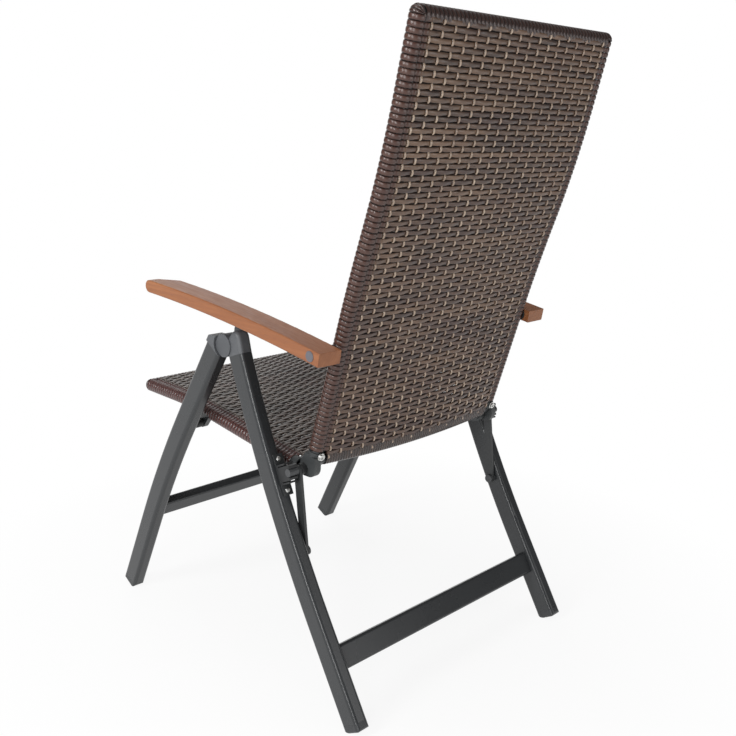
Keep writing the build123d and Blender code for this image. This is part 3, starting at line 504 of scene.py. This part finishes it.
class Strands:
    """Collects swept strands and makes one mesh of them, with their tones kept per point."""

    def __init__(self):
        self.points = []
        self.tones = []
        self.faces = []
        self.count = 0

    def sweep(self, grid, tones):
        """Adds one strand. The grid has a section of points per step, the tones painted light, tone and
        red.
        """
        steps, sides = grid.shape[:2]
        self.points.append(grid.reshape(-1, 3))
        self.tones.append(tones.reshape(-1, 3))
        step = self.count + np.arange(steps - 1)[:, None] * sides
        here = np.arange(sides)[None, :]
        after = (here + 1) % sides
        quads = np.stack([step + here, step + after, step + sides + after, step + sides + here], -1)
        self.faces.extend(quads.reshape(-1, 4).tolist())
        last = self.count + (steps - 1) * sides
        self.faces.append([self.count + number for number in range(sides)][::-1])
        self.faces.append([last + number for number in range(sides)])
        self.count += steps * sides

    def build(self, name, material, node, body):
        """The piece, which stands for a CAD node's look and rides on a body."""
        mesh = bpy.data.meshes.new(name)
        mesh.from_pydata((np.concatenate(self.points) * MM).tolist(), [], self.faces)
        mesh.polygons.foreach_set("use_smooth", [len(face) == 4 for face in self.faces])
        # Each point keeps its painted light share, its tone and its red share
        layer = mesh.color_attributes.new("strand", "FLOAT_COLOR", "POINT")
        colours = np.ones((self.count, 4), dtype=np.float32)
        colours[:, :3] = np.concatenate(self.tones)
        layer.data.foreach_set("color", colours.ravel())
        mesh.materials.append(material)
        mesh.update()
        piece = bpy.data.objects.new(name, mesh)
        bpy.context.scene.collection.objects.link(piece)
        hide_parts(node)
        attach(piece, body)


def eased(marks, values, steps):
    """Places between the marks, and values that go from mark to mark in smooth steps."""
    places, heights = [], []
    for start, end, low, high in zip(marks[:-1], marks[1:], values[:-1], values[1:]):
        for number in range(steps):
            share = number / steps
            ease = min(max((share - EASE_START_SHARE) / EASE_SHARE, 0.0), 1.0)
            places.append(start + (end - start) * share)
            heights.append(low + (high - low) * ((1 - math.cos(math.pi * ease)) / 2))
    places.append(marks[-1])
    heights.append(values[-1])
    return np.array(places), np.array(heights)


def bow_at(x, run, bowed):
    """How far a bowed panel lies outwards and along at a place."""
    if not bowed:
        return np.zeros_like(x), np.zeros_like(x)
    share = min(max((run - BOW_START) / BOW_LENGTH, 0.0), 1.0)
    fade = (1 - share) ** 2 * (1 + 2 * share)
    middle = 1 - (x / FRAME_HALF) ** 2
    return BOW_OUT * fade * middle, -BOW_DOWN * fade * middle


def slow_tone(rng, count, knots):
    """A slowly changing random tone along a strand, between 0 and 1."""
    tones = rng.random(knots)
    return np.interp(np.linspace(0, knots - 1, count), np.arange(knots), tones)


def wrap_depth(depth):
    """A section point's depth share in a wrap, which lies on its tube with its lower edges."""
    return max(depth, WRAP_FLOOR_SHARE)


def cross_line(row, wrapped):
    """Places, distances out, normals and band shares along the middle of one cross strand."""
    levels = [CROSS_UNDER if (column + row) % 2 else CROSS_OVER for column in range(UPRIGHTS)]
    if not wrapped:
        marks = np.concatenate([[-SLEEVE_REACH], COLUMNS, [SLEEVE_REACH]])
        places, rise = eased(marks, [SLEEVE_HEIGHT] + levels + [SLEEVE_HEIGHT], CROSS_STEPS)
        flat = np.zeros_like(places)
        return places, PANEL_REACH + rise, flat, flat + 1, flat
    tuck = np.array(TUCK_PLACES)
    marks = np.concatenate([-tuck, COLUMNS, tuck[::-1]])
    places, rise = eased(marks, list(TUCK_HEIGHTS) + levels + list(TUCK_HEIGHTS[::-1]), CROSS_STEPS)
    turn = np.radians(np.linspace(WRAP_ANGLE, 0, WRAP_STEPS, endpoint=False))
    sine, cosine = np.sin(turn), np.cos(turn)
    flat = np.zeros_like(places)
    band = np.clip((np.abs(places) - BAND_START) / BAND_WIDTH, 0, 1)
    side = FRAME_HALF + TUBE_REACH * sine
    return (np.concatenate([-side, places, side[::-1]]),
            np.concatenate([TUBE_REACH * cosine, PANEL_REACH + rise, TUBE_REACH * cosine[::-1]]),
            np.concatenate([-sine, flat, sine[::-1]]),
            np.concatenate([cosine, flat + 1, cosine[::-1]]),
            np.concatenate([np.ones(WRAP_STEPS), band, np.ones(WRAP_STEPS)]))


def add_cross_strand(strands, rng, walk, pitch, row, warmth, bowed):
    """One cross strand, which goes round both side tubes unless it ends at the corner fittings."""
    run = (row + 0.5) * pitch
    (y, z), way, outward = walk.frame_at(run)
    wrapped = run > SLEEVE_LENGTH + SLEEVE_SHARE * pitch
    places, out, normal_across, normal_out, band = cross_line(row, wrapped)
    wobble = rng.normal(0, WOBBLE, 3)
    shift = wobble[0] * np.sin(places / WOBBLE_LENGTH + wobble[1] * WOBBLE_PHASES) + wobble[2]
    push, sag = bow_at(places, run, bowed)
    tone = np.clip(slow_tone(rng, len(places), CROSS_KNOTS) + rng.normal(0, TONE_SPREAD), 0, 1)
    hue = slow_tone(rng, len(places), CROSS_KNOTS)
    # The band gives the reddish tone: the wraps' own hue, plus painted shade in the dip by the tubes
    red = np.maximum(hue * HUE_SHARE + warmth * (1 - run / walk.length), band)
    grid = np.zeros((len(places), len(SECTION_SHARES), 3))
    tones = np.zeros_like(grid)
    for number, (width, depth) in enumerate(SECTION_SHARES):
        along = width * pitch * (1 + (WRAP_WIDTH_SHARE - 1) * band) + shift + sag
        rise = (depth + (wrap_depth(depth) - depth) * band) * CROSS_THICK
        reach = out + push + normal_out * rise
        grid[:, number, 0] = places + normal_across * rise
        grid[:, number, 1] = y + way[0] * along + outward[0] * reach
        grid[:, number, 2] = z + way[1] * along + outward[1] * reach
        # Painted light share of this section point, for the painted shade in the grooves
        tones[:, number, 0] = PAINTED_LIGHT_SHARES[number]
        tones[:, number, 1] = tone
        tones[:, number, 2] = red
    strands.sweep(grid, tones)


def add_upright(strands, rng, walk, rows, column, bowed):
    """One upright strand, which passes over and under the rows."""
    runs = (np.arange(rows) + 0.5) * walk.length / rows
    levels = [UPRIGHT_OVER if (column + row) % 2 else UPRIGHT_UNDER for row in range(rows)]
    marks = np.concatenate([[0.0], runs, [walk.length]])
    places, rise = eased(marks, [UPRIGHT_END] + levels + [UPRIGHT_END], UPRIGHT_STEPS)
    x = COLUMNS[column] + rng.normal(0, UPRIGHT_OFFSET)
    tone = slow_tone(rng, len(places), UPRIGHT_KNOTS)
    grid = np.zeros((len(places), len(SECTION_SHARES), 3))
    tones = np.zeros_like(grid)
    tones[:, :, 1] = tone[:, None]
    tones[:, :, 2] = tone[::-1, None] * HUE_SHARE
    for step, run in enumerate(places):
        (y, z), way, outward = walk.frame_at(float(run))
        push, sag = bow_at(x, float(run), bowed)
        for number, (width, depth) in enumerate(SECTION_SHARES):
            reach = PANEL_REACH + UPRIGHT_RISE + rise[step] + push + depth * UPRIGHT_THICK
            grid[step, number] = (x + width * UPRIGHT_WIDTH, y + outward[0] * reach + way[0] * sag,
                                  z + outward[1] * reach + way[1] * sag)
            # Painted light share of this section point, for the painted shade in the grooves
            tones[step, number, 0] = UPRIGHT_LEAST_PAINTED_LIGHT + (1 - UPRIGHT_LEAST_PAINTED_LIGHT) * PAINTED_LIGHT_SHARES[number]
    strands.sweep(grid, tones)


def weave(body, walk, rows, first_row, seed, warmth, bowed, materials):
    """Cross strands and uprights of one panel, as two pieces."""
    rng = np.random.default_rng(seed)
    cross, uprights = Strands(), Strands()
    for row in range(first_row, rows):
        add_cross_strand(cross, rng, walk, walk.length / rows, row, warmth, bowed)
    cross.build(body + "_cross_strands", materials[0], body + "_weave", body)
    for column in range(UPRIGHTS):
        add_upright(uprights, rng, walk, rows, column, bowed)
    uprights.build(body + "_upright_strands", materials[1], body + "_weave", body)


def rail_line(walk, run, out, half, bowed=False):
    """Points along a cross rail, which may bow outwards and down at its middle."""
    (y, z), way, outward = walk.frame_at(run)
    points = []
    for x in np.linspace(-half, half, RAIL_POINTS):
        middle = 1 - (x / FRAME_HALF) ** 2 if bowed else 0.0
        reach, along = out + BOW_OUT * middle, -BOW_DOWN * middle
        points.append((x, y + outward[0] * reach + way[0] * along, z + outward[1] * reach + way[1] * along))
    return np.array(points)


def wrap_rail(strands, rng, line, pitch, radius, thick, red, stretch=(0.0, 0.0)):
    """A strand wound round a cross rail. A stretch makes the winding longer on one side, as (y, z)."""
    lengths = np.concatenate([[0], np.cumsum(np.linalg.norm(np.diff(line, axis=0), axis=1))])
    turns = int(round(lengths[-1] / pitch))
    step = lengths[-1] / turns
    steps = turns * TURN_STEPS + 1
    along = np.linspace(0, lengths[-1], steps)
    tone = np.repeat(rng.random(turns + 1), TURN_STEPS)[:steps]
    angle = 2 * math.pi * along / step
    side = np.cos(angle) * stretch[0] + np.sin(angle) * stretch[1]
    slide = np.clip(0.5 + side * SLIDE_SLOPE / (math.hypot(*stretch) or 1.0), 0, 1)
    grid = np.zeros((steps, len(SECTION_SHARES), 3))
    tones = np.zeros_like(grid)
    for number, (width, depth) in enumerate(SECTION_SHARES):
        at = np.clip(along + width * step * WRAP_WIDTH_SHARE, 0, lengths[-1])
        x, y, z = (np.interp(at, lengths, line[:, axis]) for axis in range(3))
        reach = radius + wrap_depth(depth) * thick
        grid[:, number, 0] = x
        grid[:, number, 1] = y + np.cos(angle) * reach + slide * stretch[0]
        grid[:, number, 2] = z + np.sin(angle) * reach + slide * stretch[1]
        # Painted light share of this section point, for the painted shade in the grooves
        tones[:, number, 0] = PAINTED_LIGHT_SHARES[number]
        tones[:, number, 1] = tone
        tones[:, number, 2] = red
    strands.sweep(grid, tones)


def corner_fan(strands, walk):
    """Strands laid like the slices of a ball over the two far corners of a frame."""
    (y, z), way, outward = walk.frame_at(walk.length)
    turn = np.radians(np.linspace(*FAN_ARC, FAN_STEPS))
    slice_angle = math.pi / 2 / FAN_SLICES
    for side in (-1, 1):
        for slice_number in range(FAN_SLICES):
            grid = np.zeros((len(turn), len(SECTION_SHARES), 3))
            tones = np.zeros_like(grid)
            for number, (width, depth) in enumerate(SECTION_SHARES):
                heading = (slice_number + 0.5 + width) * slice_angle
                reach = TUBE_REACH + wrap_depth(depth) * CROSS_THICK
                onward = np.sin(turn) * math.sin(heading) * reach
                out = np.cos(turn) * reach
                grid[:, number, 0] = side * (FRAME_HALF + np.sin(turn) * math.cos(heading) * reach)
                grid[:, number, 1] = y + way[0] * onward + outward[0] * out
                grid[:, number, 2] = z + way[1] * onward + outward[1] * out
                # Painted light share, tone and red share of this section point
                tones[:, number] = (PAINTED_LIGHT_SHARES[number], FAN_TONE, FAN_RED)
            strands.sweep(grid, tones)


def make_weave():
    """The woven panels of back and seat, with the strands wrapped round their far and near rails."""
    back_materials = (strand("back_strand", BACK_CROSS_TONES, 0.32, ACROSS, coat=0.15),
                      strand("back_rib_strand", BACK_UPRIGHT_TONES, 0.32, UP, coat=0.3))
    seat_materials = (strand("seat_strand", SEAT_CROSS_TONES, 0.32, ACROSS, coat=0.3),
                      strand("seat_rib_strand", SEAT_UPRIGHT_TONES, 0.36, FORWARD))
    wrap = strand("wrap_strand", WRAP_TONES, 0.27, FORWARD, coat=0.3)
    rng = np.random.default_rng(WRAP_SEED)

    weave("back", BACK, BACK_ROWS, FIRST_BACK_ROW, BACK_SEED, BACK_WARMTH, True, back_materials)
    wraps = Strands()
    wrap_rail(wraps, rng, rail_line(BACK, BACK.length, 0.0, FRAME_HALF), RAIL_PITCH, TUBE_REACH,
              CROSS_THICK, RAIL_RED)
    way = BACK.frame_at(0.0)[1]
    stretch = (way[0] * BACK_HEM_STRETCH, way[1] * BACK_HEM_STRETCH)
    wrap_rail(wraps, rng, rail_line(BACK, BACK_HEM_RUN, HEM_OUT, HEM_HALF, bowed=True), HEM_PITCH,
              BACK_HEM_RADIUS, HEM_THICK, BACK_HEM_RED, stretch)
    corner_fan(wraps, BACK)
    wraps.build("back_wraps", wrap, "back_weave", "back")

    weave("seat", SEAT, SEAT_ROWS, 0, SEAT_SEED, SEAT_WARMTH, False, seat_materials)
    wraps = Strands()
    wrap_rail(wraps, rng, rail_line(SEAT, SEAT.length, 0.0, FRAME_HALF), RAIL_PITCH, TUBE_REACH,
              CROSS_THICK, RAIL_RED)
    wrap_rail(wraps, rng, rail_line(SEAT, SEAT_HEM_RUN, HEM_OUT, HEM_HALF), HEM_PITCH,
              SEAT_HEM_RADIUS, HEM_THICK, SEAT_HEM_RED)
    corner_fan(wraps, SEAT)
    wraps.build("seat_wraps", wrap, "seat_weave", "seat")


# Floor and light, in metres

FLOOR_HALF = 9.0
FLOOR_DROP = 0.0005
FLOOR_COLOUR = (0.93, 0.93, 0.93)
FLOOR_ROUGH = 0.9
FLOOR_SHINE = 0.1
# The floor shows this share of plain white up to the first distance, and all white from the second
WHITE_SHARES = (0.88, 1.0)
FADE_DISTANCES = (0.3, 0.95)
SKY_STRENGTH = 0.21
LAMP_AIM = (0, 0, 0.5)
# Name, place, size and power of each lamp
LAMPS = (("key", (2.6, -0.1, 1.7), (0.8, 1.4), 48.0),
         ("back_fill", (-0.9, 2.6, 0.75), (1.3, 1.1), 9.0),
         ("strip", (2.3, 1.55, 1.15), (0.14, 1.8), 32.0),
         ("top", (0.2, -0.2, 3.2), (1.8, 1.8), 15.0),
         ("front", (-1.2, -2.4, 1.8), (1.6, 1.6), 10.0))


def floor_material():
    """Pale floor that takes soft shadows near the chair and turns white further out."""
    nodes = Nodes("floor_pale")
    nodes.put(nodes.shader.inputs["Base Color"], FLOOR_COLOUR)
    nodes.put(nodes.shader.inputs["Roughness"], FLOOR_ROUGH)
    nodes.put(nodes.shader.inputs["Specular IOR Level"], FLOOR_SHINE)
    white = nodes.add("ShaderNodeEmission")
    path = nodes.add("ShaderNodeLightPath")
    distance = nodes.add("ShaderNodeVectorMath", operation="LENGTH")
    nodes.link(nodes.coords, distance.inputs[0])
    fade = nodes.span(distance.outputs["Value"], FADE_DISTANCES, WHITE_SHARES)
    seen = nodes.add("ShaderNodeMath", operation="MAXIMUM")
    nodes.link(path.outputs["Is Camera Ray"], seen.inputs[0])
    nodes.link(path.outputs["Is Glossy Ray"], seen.inputs[1])
    share = nodes.add("ShaderNodeMath", operation="MULTIPLY")
    nodes.link(seen.outputs[0], share.inputs[0])
    nodes.link(fade, share.inputs[1])
    blend = nodes.add("ShaderNodeMixShader")
    nodes.link(share.outputs[0], blend.inputs[0])
    nodes.link(nodes.shader.outputs[0], blend.inputs[1])
    nodes.link(white.outputs[0], blend.inputs[2])
    nodes.link(blend.outputs[0], nodes.out.inputs[0])
    return nodes.material


def add_floor():
    """A large flat floor, just below the feet."""
    mesh = bpy.data.meshes.new("floor")
    corners = [(x * FLOOR_HALF, y * FLOOR_HALF, 0) for x, y in ((-1, -1), (1, -1), (1, 1), (-1, 1))]
    mesh.from_pydata(corners, [], [(0, 1, 2, 3)])
    mesh.materials.append(floor_material())
    floor = bpy.data.objects.new("floor", mesh)
    floor.location.z = -FLOOR_DROP
    bpy.context.scene.collection.objects.link(floor)


def add_sky():
    """Soft even light from all round, which the camera sees as white."""
    world = bpy.data.worlds.new("studio")
    bpy.context.scene.world = world
    world.use_nodes = True
    tree = world.node_tree
    tree.nodes.clear()
    out = tree.nodes.new("ShaderNodeOutputWorld")
    path = tree.nodes.new("ShaderNodeLightPath")
    blend = tree.nodes.new("ShaderNodeMixShader")
    tree.links.new(path.outputs["Is Camera Ray"], blend.inputs[0])
    for socket, strength in ((blend.inputs[1], SKY_STRENGTH), (blend.inputs[2], 1.0)):
        light = tree.nodes.new("ShaderNodeBackground")
        light.inputs["Color"].default_value = (1, 1, 1, 1)
        light.inputs["Strength"].default_value = strength
        tree.links.new(light.outputs[0], socket)
    tree.links.new(blend.outputs[0], out.inputs[0])


def add_lamps():
    """Soft boxes round the chair, all aimed at its middle."""
    for name, place, size, power in LAMPS:
        lamp = bpy.data.lights.new(name, "AREA")
        lamp.shape = "RECTANGLE"
        lamp.size, lamp.size_y = size
        lamp.energy = power
        holder = bpy.data.objects.new(name, lamp)
        holder.location = place
        holder.rotation_euler = (Vector(LAMP_AIM) - Vector(place)).to_track_quat("-Z", "Y").to_euler()
        bpy.context.scene.collection.objects.link(holder)


bpy.context.scene.view_settings.view_transform = "Standard"
add_camera()
paint_parts()
make_weave()
add_floor()
add_sky()
add_lamps()
